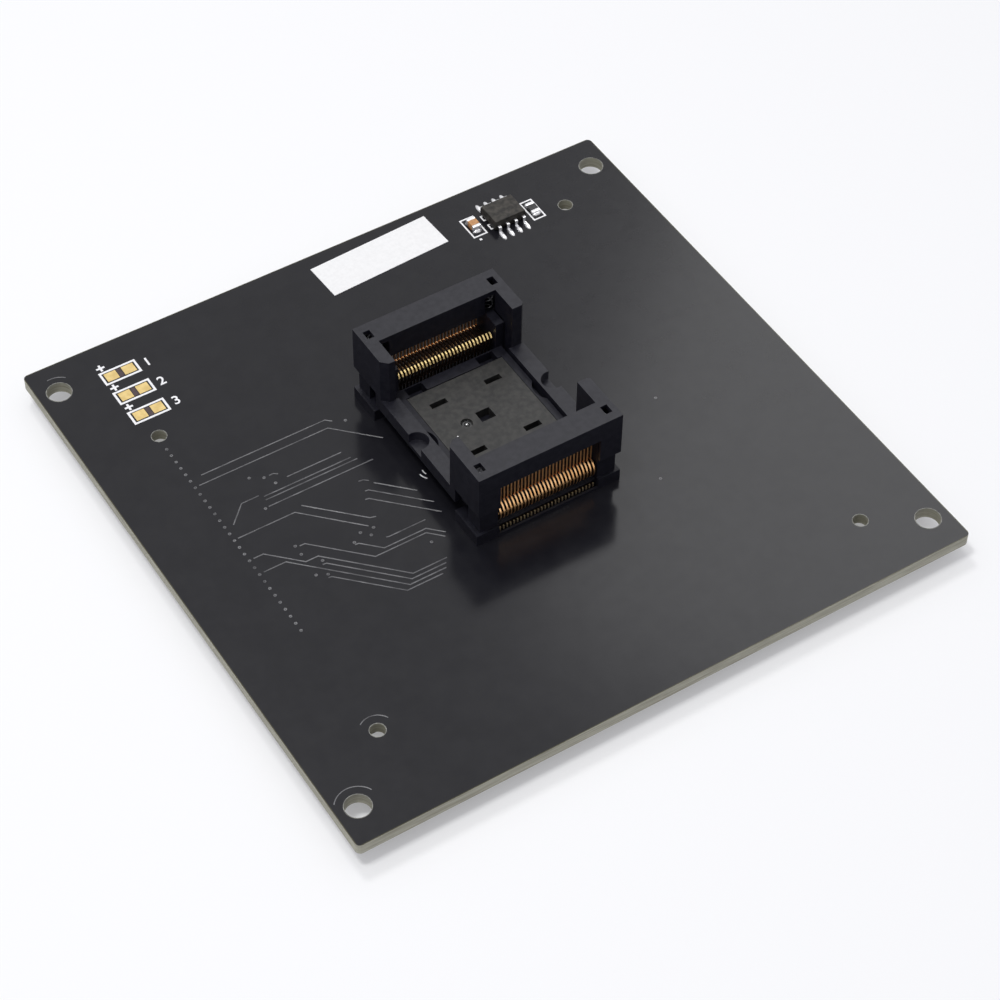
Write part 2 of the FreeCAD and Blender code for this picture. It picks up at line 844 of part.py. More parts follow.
def combs():
    """A bar across the well with one slot from below for each contact."""
    count = int(value("contact_count"))
    pitch = value("contact_pitch")
    wide = value("contact_thick + comb_play")
    ground = value(BOARD_TOP)
    middle_x = value("socket_x")
    first = value("socket_x - (contact_count - 1) * contact_pitch / 2")
    half = value("well_half_width")
    near = value("comb_start")
    far = value("comb_end")
    for end, side in ENDS:
        low_y = value("socket_y") + min(side * near, side * far)
        outline = [(middle_x - half, 0), ]
        for number in range(count):
            x = first + number * pitch
            outline.append((x - wide / 2, 0))
            outline.append((x - wide / 2, value("comb_slot_height")))
            outline.append((x + wide / 2, value("comb_slot_height")))
            outline.append((x + wide / 2, 0))
        outline.append((middle_x + half, 0))
        outline.append((middle_x + half, value("comb_height")))
        outline.append((middle_x - half, value("comb_height")))
        vertices = [FreeCAD.Vector(x, low_y, ground + z) for x, z in outline]
        face = Part.Face(Part.makePolygon(vertices + vertices[:1]))
        feature = doc.addObject("Part::Feature", "Comb" + end)
        feature.Shape = face.extrude(FreeCAD.Vector(0, far - near, 0))
        node(feature, end + "_comb")


combs()

# Return springs: one under each corner of the cover, seated in the base's posts. The coils
# are drawn as a thin sleeve of the spring's outer and inner diameters.
springs = {
    "spring_wire": 0.2,
}
sizes(springs)


def return_springs():
    """Compression springs between the pocket's floor and the cover's plate."""
    top = "cover_height - cover_plate"
    for end, side in ENDS:
        for hand, way in HANDS:
            spot = end + hand
            x = f"socket_x + {way} * spring_x"
            y = f"socket_y + {side} * spring_u"
            outer = facet_peg(
                "SpringOuter" + spot, x, y, above("spring_seat", top), "spring_outer")
            inner = facet_peg(
                "SpringInner" + spot, x, y, above("spring_seat - 1", f"{top} + 1"),
                "spring_outer - 2 * spring_wire")
            node(cut("ReturnSpring" + spot, outer, [inner]), f"{end}_{hand}_return_spring")


return_springs()

# Connectors under the left and right edges: grooved housings that plug onto the programmer.
# The board stands on them when it lies on a table.
connectors = {
    "connector_width": 5.2,
    "groove_width": 1.8,
    "groove_depth": 1.7,
    "groove_margin": 1.2,
    "guide_gap": 1.5,
}
sizes(connectors)


def connector(hand, way):
    """Housing between the two guide holes of its side, open downwards."""
    middle = f"{hand}_guide_shift"
    half = f"({hand}_guide_pitch / 2 - guide_hole / 2 - guide_gap)"
    x_middle = f"{way} * (board_width / 2 - guide_inset)"
    name = hand.capitalize()
    housing = block(name + "Housing", about(x_middle, "connector_width / 2"),
                    about(middle, half), ("0", "connector_height"))
    groove = block(name + "Groove", about(x_middle, "groove_width / 2"),
                   about(middle, f"{half} - groove_margin"),
                   ("-1", "groove_depth"))
    node(cut(name + "Connector", housing, [groove]), f"{hand}_connector_housing")


for hand_name, hand_way in HANDS:
    connector(hand_name, hand_way)

doc.recompute()
for item in doc.Objects:
    if "Invalid" in item.State or "Error" in item.State:
        raise RuntimeError(item.Name + " did not build")
for item in nodes:
    if item.Shape.isNull() or not item.Shape.isValid():
        raise RuntimeError(item.Label + " has no valid shape")

os.makedirs("parts", exist_ok=True)
for item in nodes:
    item.Shape.exportStep("parts/" + item.Label + ".step")
print(len(nodes), "pieces written")
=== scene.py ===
import bpy
from math import cos, pi, radians, sin
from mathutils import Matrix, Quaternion, Vector


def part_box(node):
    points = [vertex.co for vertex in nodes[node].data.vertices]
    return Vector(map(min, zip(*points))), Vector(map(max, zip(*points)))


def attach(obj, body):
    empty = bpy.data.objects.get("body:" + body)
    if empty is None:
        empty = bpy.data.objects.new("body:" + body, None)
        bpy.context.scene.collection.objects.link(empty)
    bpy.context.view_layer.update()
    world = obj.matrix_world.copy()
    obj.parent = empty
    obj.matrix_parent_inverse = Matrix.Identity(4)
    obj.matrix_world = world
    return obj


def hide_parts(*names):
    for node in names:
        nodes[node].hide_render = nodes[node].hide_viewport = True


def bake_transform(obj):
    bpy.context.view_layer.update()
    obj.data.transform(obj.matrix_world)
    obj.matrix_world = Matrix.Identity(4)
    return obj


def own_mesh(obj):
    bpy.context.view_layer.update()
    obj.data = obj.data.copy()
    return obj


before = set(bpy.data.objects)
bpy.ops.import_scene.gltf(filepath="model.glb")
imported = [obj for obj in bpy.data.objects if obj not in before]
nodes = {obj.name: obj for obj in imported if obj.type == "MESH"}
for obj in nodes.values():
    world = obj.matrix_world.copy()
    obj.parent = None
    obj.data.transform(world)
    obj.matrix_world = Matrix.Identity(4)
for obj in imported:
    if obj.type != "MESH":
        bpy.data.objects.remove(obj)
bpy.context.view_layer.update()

# Circuit board: glass-epoxy laminate, 1.6 mm thick, black solder mask on both faces. It is sawn
# out of a panel and drilled, so its edges and hole walls show the bare yellow-grey laminate.
MM = 0.001
BOARD_LOW, BOARD_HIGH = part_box("circuit_board")
BOARD_TOP = BOARD_HIGH.z
BOARD_UNDER = BOARD_LOW.z


def finish(name, colour, roughness, metallic=0.0):
    """A new material; returns it with its shader, ready for grain and relief."""
    material = bpy.data.materials.new(name)
    material.use_nodes = True
    shader = material.node_tree.nodes["Principled BSDF"]
    shader.inputs["Base Color"].default_value = (*colour, 1.0)
    shader.inputs["Roughness"].default_value = roughness
    shader.inputs["Metallic"].default_value = metallic
    return material, shader


def grain(material, per_mm, detail=3.0, stretch=(1.0, 1.0, 1.0)):
    """A noise pattern fixed to the piece, with its size given in features per millimetre."""
    tree = material.node_tree
    place = tree.nodes.new("ShaderNodeTexCoord")
    turn = tree.nodes.new("ShaderNodeMapping")
    turn.inputs["Scale"].default_value = stretch
    noise = tree.nodes.new("ShaderNodeTexNoise")
    noise.inputs["Scale"].default_value = per_mm / MM
    noise.inputs["Detail"].default_value = detail
    tree.links.new(place.outputs["Object"], turn.inputs["Vector"])
    tree.links.new(turn.outputs["Vector"], noise.inputs["Vector"])
    return noise.outputs["Fac"]


def tint(material, shader, pattern, dark, light, low=0.35, high=0.65):
    """Lets the colour wander between two shades with a pattern."""
    ramp = material.node_tree.nodes.new("ShaderNodeValToRGB")
    ramp.color_ramp.elements[0].position = low
    ramp.color_ramp.elements[0].color = (*dark, 1.0)
    ramp.color_ramp.elements[1].position = high
    ramp.color_ramp.elements[1].color = (*light, 1.0)
    material.node_tree.links.new(pattern, ramp.inputs["Fac"])
    material.node_tree.links.new(ramp.outputs["Color"], shader.inputs["Base Color"])


def polish(material, shader, pattern, smooth, rough):
    """Lets the roughness wander between two values with a pattern."""
    span = material.node_tree.nodes.new("ShaderNodeMapRange")
    span.inputs["To Min"].default_value = smooth
    span.inputs["To Max"].default_value = rough
    material.node_tree.links.new(pattern, span.inputs["Value"])
    material.node_tree.links.new(span.outputs["Result"], shader.inputs["Roughness"])


def relief(material, shader, pattern, height_mm, strength=1.0):
    """Raises the surface a little where the pattern is light."""
    bump = material.node_tree.nodes.new("ShaderNodeBump")
    bump.inputs["Strength"].default_value = strength
    bump.inputs["Distance"].default_value = height_mm * MM
    material.node_tree.links.new(pattern, bump.inputs["Height"])
    material.node_tree.links.new(bump.outputs["Normal"], shader.inputs["Normal"])


def coat_with(piece, *materials):
    """Gives a piece its materials in place of what it has."""
    piece.data.materials.clear()
    for material in materials:
        piece.data.materials.append(material)


def sawn_border(material, shader, width_mm, colour):
    """The saw chips the mask away along the board's outline, which leaves a thin olive line."""
    tree = material.node_tree
    place = tree.nodes.new("ShaderNodeTexCoord")
    split = tree.nodes.new("ShaderNodeSeparateXYZ")
    tree.links.new(place.outputs["Object"], split.inputs["Vector"])
    near_edge = tree.nodes.new("ShaderNodeMath")
    near_edge.operation = "MAXIMUM"
    for number, (axis, reach) in enumerate((("X", BOARD_HIGH.x), ("Y", BOARD_HIGH.y))):
        distance = tree.nodes.new("ShaderNodeMath")
        distance.operation = "ABSOLUTE"
        beyond = tree.nodes.new("ShaderNodeMath")
        beyond.operation = "GREATER_THAN"
        beyond.inputs[1].default_value = reach - width_mm * MM
        tree.links.new(split.outputs[axis], distance.inputs[0])
        tree.links.new(distance.outputs[0], beyond.inputs[0])
        tree.links.new(beyond.outputs[0], near_edge.inputs[number])
    blend = tree.nodes.new("ShaderNodeMix")
    blend.data_type = "RGBA"
    blend.inputs["B"].default_value = (*colour, 1.0)
    tree.links.new(near_edge.outputs[0], blend.inputs["Factor"])
    tree.links.new(shader.inputs["Base Color"].links[0].from_socket, blend.inputs["A"])
    tree.links.new(blend.outputs["Result"], shader.inputs["Base Color"])


solder_mask, shader = finish("solder_mask", (0.012, 0.012, 0.014), 0.16)
shader.inputs["Specular IOR Level"].default_value = 0.28
cloudy = grain(solder_mask, 0.35, 4.0)
tint(solder_mask, shader, cloudy, (0.009, 0.009, 0.012), (0.012, 0.012, 0.015))
sawn_border(solder_mask, shader, 0.11, (0.075, 0.07, 0.04))
polish(solder_mask, shader, grain(solder_mask, 0.8), 0.13, 0.20)
relief(solder_mask, shader, grain(solder_mask, 1.6, 2.0), 0.003, 0.3)

laminate, shader = finish("bare_laminate", (0.34, 0.33, 0.25), 0.6)
layers = grain(laminate, 0.9, 4.0, (0.25, 0.25, 5.0))
tint(laminate, shader, layers, (0.24, 0.23, 0.17), (0.44, 0.43, 0.34), 0.3, 0.7)
relief(laminate, shader, layers, 0.03, 0.6)

board = nodes["circuit_board"]
coat_with(board, solder_mask, laminate)
for facet in board.data.polygons:
    facet.material_index = 0 if abs(facet.normal.z) > 0.5 else 1


# Tracks and vias: copper etched on the board before the mask goes on, so they show as low ridges and
# dots under it, in a grey that is partly the mask's own tone over copper and partly painted
# highlight. The edge of the copper plane shows behind three left holes.
TRACK_WIDTH = 0.17 * MM
TRACK_RISE = 0.04 * MM
TRACKS = (
    ((-31.8, 15.55), (-14.2, 15.55), (-13.5, 14.9)),
    ((-32.8, 14.17), (-14.55, 14.17), (-9.5, 9.12)),
    ((-22.9, 9.75), (-15.2, 9.75)),
    ((-26.9, 8.4), (-14.6, 8.4)),
    ((-27.0, 7.8), (-14.0, 7.8)),
    ((-27.2, 6.68), (-12.4, 6.68)),
    ((-24.7, 11.1), (-24.1, 11.1), (-23.6, 10.75)),
    ((-32.3, 6.35), (-29.8, 8.85), (-27.4, 8.85)),
    ((-23.7, 4.73), (-17.6, -1.37), (-16.85, -1.6)),
    ((-32.85, 4.18), (-24.95, 4.18), (-18.4, -2.45)),
    ((-15.8, 4.45), (-15.15, 4.35), (-14.6, 3.9)),
    ((-14.3, 3.3), (-10.4, -0.6)),
    ((-15.9, 2.65), (-15.45, 2.6), (-9.6, -3.25)),
    ((-16.6, 1.45), (-16.1, 1.35), (-9.6, -5.15)),
    ((-27.1, -0.8), (-26.4, -0.8), (-20.15, -7.05), (-13.0, -7.05), (-11.3, -8.75)),
    ((-21.3, -4.15), (-20.8, -4.2), (-18.55, -6.45), (-12.65, -6.45), (-10.9, -8.2)),
    ((-17.5, -5.1), (-17.1, -5.2), (-12.0, -5.2)),
    ((-32.8, 0.4), (-31.45, 0.4), (-27.7, -3.35), (-26.0, -3.35), (-17.65, -11.7), (-12.9, -11.7)),
    ((-26.2, -4.8), (-25.7, -4.85), (-18.2, -12.35), (-13.4, -12.35)),
    ((-32.8, -2.1), (-29.75, -2.1), (-18.85, -13.0), (-13.8, -13.0)),
    ((-26.65, -6.95), (-26.2, -7.0), (-19.6, -13.6), (-14.6, -13.6)),
)
VIA_RING = 0.14 * MM
VIA_COLUMN_X = -33.4
VIA_COLUMN_TOP = 21.6
VIA_PITCH = 1.252
VIA_COUNT = 28
LONE_VIAS = (
    (-27.7, 6.6), (-27.0, 12.0), (-25.4, 11.1), (-24.6, 9.6), (-12.0, 14.15), (-18.0, -2.95),
    (-19.8, -2.85), (-18.85, -3.85), (-27.6, -0.55), (-27.6, -2.05), (-25.9, -4.25),
    (-27.7, -5.8), (-26.4, -6.45), (-21.2, -3.8), (-13.2, -8.65), (23.4, -3.2), (16.2, -14.8))
CORNER_HOLES = ((-40.4, -37.4), (40.4, -37.4), (-40.4, 37.4), (40.4, 37.4))
GUIDE_HOLES = ((-33.15, -29.5), (-33.15, 24.1), (33.15, -33.3), (33.15, 32.7))
PLANE_EDGES = (((-40.4, -37.4), 2.7, 25, 145), ((-33.15, -29.5), 2.15, 25, 128),
               ((-40.4, 37.4), 2.6, 45, 100))


def let_go():
    """Leaves edit mode and deselects everything."""
    if bpy.context.mode != "OBJECT":
        bpy.ops.object.mode_set(mode="OBJECT")
    bpy.ops.object.select_all(action="DESELECT")


def take(piece):
    """Makes a piece the only selected and active one."""
    let_go()
    piece.select_set(True)
    bpy.context.view_layer.objects.active = piece


def joined(name, parts):
    """Joins loose parts into one piece whose place is in its mesh."""
    let_go()
    for part in parts:
        part.select_set(True)
    bpy.context.view_layer.objects.active = parts[0]
    if len(parts) > 1:
        bpy.ops.object.join()
    piece = bpy.context.view_layer.objects.active
    bpy.ops.object.transform_apply(location=True, rotation=True, scale=True)
    piece.name = name
    return piece


def repeated(name, model, places):
    """Copies a shape modelled at the origin to each place, given in millimetres, and joins them."""
    parts = []
    for x, y in places:
        part = bpy.data.objects.new(name, model.data.copy())
        bpy.context.collection.objects.link(part)
        part.location = (x * MM, y * MM, 0.0)
        parts.append(part)
    bpy.data.objects.remove(model)
    return joined(name, parts)


def arc(centre, radius, start, end, steps=14):
    """Points along part of a circle, in millimetres and degrees."""
    turns = [radians(start + (end - start) * number / steps) for number in range(steps + 1)]
    return [(centre[0] + radius * cos(turn), centre[1] + radius * sin(turn)) for turn in turns]


def track(points, width=TRACK_WIDTH, rise=TRACK_RISE):
    """One ridge on the board along its route: copper under the mask, or a line of ink."""
    route = bpy.data.curves.new("track", "CURVE")
    route.dimensions = "3D"
    route.bevel_depth = width / 2
    route.bevel_resolution = 2
    route.use_fill_caps = True
    spline = route.splines.new("POLY")
    spline.points.add(len(points) - 1)
    for point, (x, y) in zip(spline.points, points):
        point.co = (x * MM, y * MM, 0.0, 1.0)
    ridge = bpy.data.objects.new("track", route)
    bpy.context.collection.objects.link(ridge)
    take(ridge)
    bpy.ops.object.convert(target="MESH")
    ridge = bpy.context.view_layer.objects.active
    ridge.scale.z = 2 * rise / width
    ridge.location.z = BOARD_TOP
    bpy.ops.object.transform_apply(location=True, rotation=True, scale=True)
    bpy.ops.object.shade_smooth()
    return ridge


def ring(radius, width, rise, segments, face=BOARD_TOP):
    """A low ring on the board around a via or a hole, modelled at the origin."""
    let_go()
    bpy.ops.mesh.primitive_torus_add(
        location=(0, 0, face), major_radius=radius, minor_radius=width / 2,
        major_segments=segments, minor_segments=6)
    rim = bpy.context.view_layer.objects.active
    rim.scale.z = 2 * rise / width
    bpy.ops.object.transform_apply(location=True, rotation=True, scale=True)
    bpy.ops.object.shade_smooth()
    return rim


# Mask over copper is a little lighter than the bare mask; the much lighter grey here is also a
# painted highlight along the ridges and vias.
mask_over_copper, shader = finish("mask_over_copper", (0.13, 0.13, 0.135), 0.3)
tint(mask_over_copper, shader, grain(mask_over_copper, 0.6), (0.07, 0.07, 0.075), (0.19, 0.19, 0.195))
polish(mask_over_copper, shader, grain(mask_over_copper, 1.5), 0.25, 0.36)

ridges = [track(points) for points in TRACKS]
for centre, radius, start, end in PLANE_EDGES:
    ridges.append(track(arc(centre, radius, start, end), 0.13 * MM, 0.02 * MM))
copper_tracks = joined("copper_tracks", ridges)
coat_with(copper_tracks, mask_over_copper)
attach(copper_tracks, "base")

via_places = [(VIA_COLUMN_X, VIA_COLUMN_TOP - number * VIA_PITCH) for number in range(VIA_COUNT)]
via_places.extend(LONE_VIAS)
vias = repeated("vias", ring(VIA_RING, 0.16 * MM, 0.05 * MM, 14), via_places)
coat_with(vias, mask_over_copper)
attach(vias, "base")


# Hole rims: the drill leaves a pale edge of laminate where it breaks through the mask, round
# the four screw holes and the four guide holes, on both faces of the board.
CORNER_HOLE_RADIUS = 1.6 * MM
GUIDE_HOLE_RADIUS = 0.95 * MM
RIM_WIDTH = 0.09 * MM

rim_laminate, shader = finish("rim_laminate", (0.30, 0.30, 0.27), 0.45)
tint(rim_laminate, shader, grain(rim_laminate, 3.0), (0.16, 0.16, 0.14), (0.36, 0.36, 0.32))

rims = []
for radius, places in ((CORNER_HOLE_RADIUS, CORNER_HOLES), (GUIDE_HOLE_RADIUS, GUIDE_HOLES)):
    for face in (BOARD_TOP, BOARD_UNDER):
        rim = ring(radius + RIM_WIDTH / 2, RIM_WIDTH, 0.015 * MM, 48, face)
        rims.append(repeated("rim", rim, places))
hole_rims = joined("hole_rims", rims)
coat_with(hole_rims, rim_laminate)
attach(hole_rims, "base")


# Printed marks: white ink screened onto the mask. Frames around the lamp pads and the small
# parts, a plus sign at each lamp, plain numbers, and pin-one ticks beside the chip.
INK_RISE = 0.012 * MM
INK_LINE = 0.3
PAD_FRAMES = ((-32.25, 36.4), (-32.25, 32.47), (-32.25, 28.5))
PAD_FRAME_SIZE = (5.15, 2.4)
PART_FRAMES = ((20.3, 35.55, 2.2, 3.9), (28.88, 34.25, 1.95, 3.9))
PLUS_SIZE = 1.15
PLUS_PLACE = (-1.85, 1.95)
NUMBER_PLACE = (3.3, -0.75)
NUMBER_HEIGHT = 1.45
FINE_LINE = 0.2
PART_LINE = 0.22
TICK_COLUMN_X = 22.15
TICK_ROWS = (36.3, 34.4)
TICK_REACH = 0.45
DOT_PLACE = (19.9, 33.0)
DOT_SIZE = 0.35
FIRST_PIN = (-7.0, 1.6)
FIRST_PIN_ARCS = ((1.75, 185, 222), (1.15, 165, 205))

white_ink, shader = finish("white_ink", (0.91, 0.91, 0.91), 0.5)
tint(white_ink, shader, grain(white_ink, 3.0), (0.86, 0.86, 0.87), (0.94, 0.94, 0.94))
relief(white_ink, shader, grain(white_ink, 6.0), 0.01, 0.3)


def print_frame(x, y, width, depth, line=INK_LINE):
    """An outline of one line's width, open in the middle."""
    let_go()
    bpy.ops.mesh.primitive_plane_add(size=1.0, location=(x * MM, y * MM, BOARD_TOP))
    mark = bpy.context.view_layer.objects.active
    mark.scale = (width * MM, depth * MM, 1.0)
    bpy.ops.object.transform_apply(location=False, rotation=False, scale=True)
    bpy.ops.object.mode_set(mode="EDIT")
    bpy.ops.mesh.select_all(action="SELECT")
    bpy.ops.mesh.inset(thickness=line * MM)
    bpy.ops.mesh.delete(type="FACE")
    bpy.ops.mesh.select_all(action="SELECT")
    bpy.ops.mesh.extrude_region_move(TRANSFORM_OT_translate={"value": (0, 0, INK_RISE)})
    let_go()
    return mark


def print_bar(x, y, width, depth):
    """A short straight stroke."""
    let_go()
    bpy.ops.mesh.primitive_cube_add(size=1.0, location=(x * MM, y * MM, BOARD_TOP))
    mark = bpy.context.view_layer.objects.active
    mark.scale = (width * MM, depth * MM, 2 * INK_RISE)
    return mark


def print_number(text, x, y, height):
    """A plain number, its lower left corner at the given place."""
    let_go()
    bpy.ops.object.text_add(location=(x * MM, y * MM, BOARD_TOP))
    mark = bpy.context.view_layer.objects.active
    mark.data.body = text
    mark.data.size = height * 1.4 * MM
    mark.data.extrude = INK_RISE
    mark.data.offset = 0.03 * MM
    take(mark)
    bpy.ops.object.convert(target="MESH")
    return bpy.context.view_layer.objects.active


marks = []
for number, (x, y) in enumerate(PAD_FRAMES, 1):
    marks.append(print_frame(x, y, *PAD_FRAME_SIZE))
    plus_x = x + PLUS_PLACE[0]
    plus_y = y + PLUS_PLACE[1]
    stub = (PLUS_SIZE - INK_LINE) / 2
    marks.append(print_bar(plus_x, plus_y, PLUS_SIZE, INK_LINE))
    for side in (-1, 1):
        marks.append(print_bar(plus_x, plus_y + side * (stub + INK_LINE) / 2, INK_LINE, stub))
    marks.append(print_number(str(number), x + NUMBER_PLACE[0], y + NUMBER_PLACE[1], NUMBER_HEIGHT))
for x, y, width, depth in PART_FRAMES:
    marks.append(print_frame(x, y, width, depth, PART_LINE))
for y in TICK_ROWS:
    marks.append(print_bar(TICK_COLUMN_X, y, FINE_LINE, 2 * TICK_REACH + FINE_LINE))
    for side in (-1, 1):
        marks.append(print_bar(TICK_COLUMN_X + (FINE_LINE + DOT_SIZE) / 2, y + side * TICK_REACH,
                               DOT_SIZE, FINE_LINE))
marks.append(print_bar(*DOT_PLACE, DOT_SIZE, DOT_SIZE))
for radius, start, end in FIRST_PIN_ARCS:
    marks.append(track(arc(FIRST_PIN, radius, start, end), 0.17 * MM, INK_RISE))
printed_marks = joined("printed_marks", marks)
coat_with(printed_marks, white_ink)
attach(printed_marks, "base")


# Indicator pads: six bare copper pads for three lamps, gold-plated and left unsoldered. The
# strip of laminate between the two pads of a lamp is dark brown.
PAD_GAP = 0.62
PAD_DEPTH = 1.5

gold_plate, shader = finish("gold_plate", (0.64, 0.46, 0.18), 0.42, 0.5)
tint(gold_plate, shader, grain(gold_plate, 1.2), (0.55, 0.40, 0.15), (0.66, 0.50, 0.21))
relief(gold_plate, shader, grain(gold_plate, 4.0), 0.01, 0.3)
coat_with(nodes["indicator_pads"], gold_plate)

bare_gap, shader = finish("bare_gap", (0.045, 0.022, 0.028), 0.3)
tint(bare_gap, shader, grain(bare_gap, 2.0), (0.030, 0.014, 0.018), (0.060, 0.032, 0.038))
gaps = [print_bar(x, y, PAD_GAP, PAD_DEPTH) for x, y in PAD_FRAMES]
pad_gaps = joined("pad_gaps", gaps)
coat_with(pad_gaps, bare_gap)
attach(pad_gaps, "base")


# Label: a strip of white paper with glue on its back, cut from a roll. It is stuck on by hand,
# slightly askew, and blank.
paper, shader = finish("label_paper", (0.90, 0.90, 0.89), 0.55)
fibre = grain(paper, 2.5, 5.0)
tint(paper, shader, fibre, (0.87, 0.87, 0.86), (0.92, 0.92, 0.91))
relief(paper, shader, fibre, 0.01, 0.3)
coat_with(nodes["paper_label"], paper)


# Memory chip: moulded black epoxy body with eight tinned gull-wing leads, and beside it a tan
# capacitor and a black resistor. All are soldered onto pads on the board's surface.
MERGE_DISTANCE = 0.005 * MM


def moulding(node, name, body, edge_mm, *materials):
    """A copy of a CAD node with its edges rounded as the tool leaves them."""
    shape = nodes[node].data.copy()
    piece = bpy.data.objects.new(name, shape)
    bpy.context.collection.objects.link(piece)
    take(piece)
    bpy.ops.object.mode_set(mode="EDIT")
    bpy.ops.mesh.select_all(action="SELECT")
    bpy.ops.mesh.remove_doubles(threshold=MERGE_DISTANCE)
    bpy.ops.mesh.dissolve_limited(angle_limit=radians(0.5))
    bpy.ops.object.mode_set(mode="OBJECT")
    rounding = piece.modifiers.new("rounding", "BEVEL")
    rounding.width = edge_mm * MM
    rounding.segments = 2
    rounding.limit_method = "ANGLE"
    rounding.angle_limit = radians(35)
    bpy.ops.object.modifier_apply(modifier=rounding.name)
    bpy.ops.object.shade_smooth_by_angle(angle=radians(50))
    flatness = piece.modifiers.new("flatness", "WEIGHTED_NORMAL")
    flatness.weight = 100
    flatness.keep_sharp = True
    bpy.ops.object.modifier_apply(modifier=flatness.name)
    coat_with(piece, *materials)
    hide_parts(node)
    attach(piece, body)
    return piece


chip_epoxy, shader = finish("chip_epoxy", (0.016, 0.014, 0.013), 0.5)
shader.inputs["Specular IOR Level"].default_value = 0.25
tint(chip_epoxy, shader, grain(chip_epoxy, 1.6, 5.0), (0.010, 0.009, 0.008), (0.050, 0.045, 0.038))
relief(chip_epoxy, shader, grain(chip_epoxy, 12.0), 0.01, 0.5)
chip_moulding = moulding("chip_body", "chip_moulding", "base", 0.08, chip_epoxy)

tin_plate, shader = finish("tin_plate", (0.74, 0.74, 0.76), 0.28, 0.9)
polish(tin_plate, shader, grain(tin_plate, 4.0), 0.22, 0.4)
lead_strips = moulding("chip_leads", "lead_strips", "base", 0.05, tin_plate)

tan_ceramic, shader = finish("tan_ceramic", (0.50, 0.24, 0.08), 0.4)
tint(tan_ceramic, shader, grain(tan_ceramic, 3.0), (0.44, 0.20, 0.07), (0.56, 0.29, 0.11))
capacitor = moulding("capacitor_body", "capacitor", "base", 0.05, tan_ceramic)
capacitor_caps = moulding("capacitor_ends", "capacitor_caps", "base", 0.08, tin_plate)


def bead(half_x, half_y, rise, face=BOARD_TOP):
    """A rounded mound of solder on the board, modelled at the origin."""
    let_go()
    bpy.ops.mesh.primitive_uv_sphere_add(segments=16, ring_count=8, radius=MM)
    mound = bpy.context.view_layer.objects.active
    bpy.ops.object.mode_set(mode="EDIT")
    bpy.ops.mesh.select_all(action="SELECT")
    bpy.ops.mesh.bisect(plane_co=(0, 0, 0), plane_no=(0, 0, 1), clear_inner=True, use_fill=True)
    let_go()
    mound.scale = (half_x, half_y, rise)
    mound.location.z = face
    take(mound)
    bpy.ops.object.transform_apply(location=True, rotation=True, scale=True)
    bpy.ops.object.shade_smooth_by_angle(angle=radians(60))
    return mound


CHIP_MIDDLE = (24.7, 35.1)
CAPACITOR_MIDDLE = (20.35, 35.6)
RESISTOR_MIDDLE = (28.9, 34.3)
LEAD_PITCH = 1.27
FOOT_MIDDLE = 3.0
END_MIDDLE = 0.95
solder, shader = finish("solder", (0.66, 0.66, 0.68), 0.28, 0.85)
polish(solder, shader, grain(solder, 3.0), 0.2, 0.4)
relief(solder, shader, grain(solder, 5.0), 0.03, 0.5)

foot_places = [(CHIP_MIDDLE[0] + (number - 1.5) * LEAD_PITCH, CHIP_MIDDLE[1] + side * FOOT_MIDDLE)
               for number in range(4) for side in (-1, 1)]
end_places = [(x, y + side * END_MIDDLE)
              for x, y in (CAPACITOR_MIDDLE, RESISTOR_MIDDLE) for side in (-1, 1)]
mounds = [repeated("foot_joints", bead(0.33, 0.88, 0.24), foot_places),
          repeated("end_joints", bead(0.68, 0.42, 0.34), end_places)]
small_joints = joined("small_joints", mounds)
coat_with(small_joints, solder)
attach(small_joints, "base")

black_glaze, shader = finish("black_glaze", (0.012, 0.012, 0.014), 0.25)
polish(black_glaze, shader, grain(black_glaze, 3.0), 0.2, 0.35)
resistor = moulding("resistor_body", "resistor", "base", 0.04, black_glaze)
resistor_caps = moulding("resistor_ends", "resistor_caps", "base", 0.06, tin_plate)


# Socket: base, seat plate and cover, each injection-moulded in black glass-filled plastic with
# a fine matt grain. The base is fixed to the board and the cover slides on it.
def matt_plastic(name, dark, light, smooth, rough, shine=0.3):
    """Fine-grained moulded plastic between two close shades."""
    material, shader = finish(name, light, rough)
    shader.inputs["Specular IOR Level"].default_value = shine
    tint(material, shader, grain(material, 1.3, 5.0), dark, light)
    polish(material, shader, grain(material, 5.0), smooth, rough)
    relief(material, shader, grain(material, 14.0, 2.0), 0.02, 0.5)
    return material


socket_black = matt_plastic("socket_black", (0.004, 0.004, 0.009), (0.012, 0.012, 0.018), 0.36, 0.5)
seat_grey = matt_plastic("seat_grey", (0.015, 0.015, 0.015), (0.033, 0.032, 0.030), 0.4, 0.55)

# The base's plastic is a darker, duller copy of the cover's, as painted shade on its ledges under the
# cover.
base_shaded_black = matt_plastic("base_shaded_black", (0.005, 0.005, 0.009), (0.010, 0.010, 0.016), 0.4, 0.55, 0.22)
base_moulding = moulding("socket_base", "base_moulding", "base", 0.05, base_shaded_black)
seat_insert = moulding("seat_plate", "seat_insert", "base", 0.04, seat_grey)
cover_moulding = moulding("socket_cover", "cover_moulding", "cover", 0.12, socket_black)
for end in ("front", "rear"):
    coat_with(nodes[end + "_comb"], socket_black)


# Moulding marks on the seat: the ejector's pip inside its round pit, and a drop of flash beside it. A
# near-black ring in the pit is painted shade, and the pip and the drop are a light grey half-metal as
# painted glints.
SEAT_LOW, SEAT_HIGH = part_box("seat_plate")
SOCKET_MIDDLE = (SEAT_LOW + SEAT_HIGH) / 2
EJECTOR_PIT = (SOCKET_MIDDLE.x / MM - 2.75, SOCKET_MIDDLE.y / MM)
EJECTOR_DEPTH = 0.3 * MM
FLASH_DROP = (SOCKET_MIDDLE.x / MM - 4.89, SOCKET_MIDDLE.y / MM - 1.33)

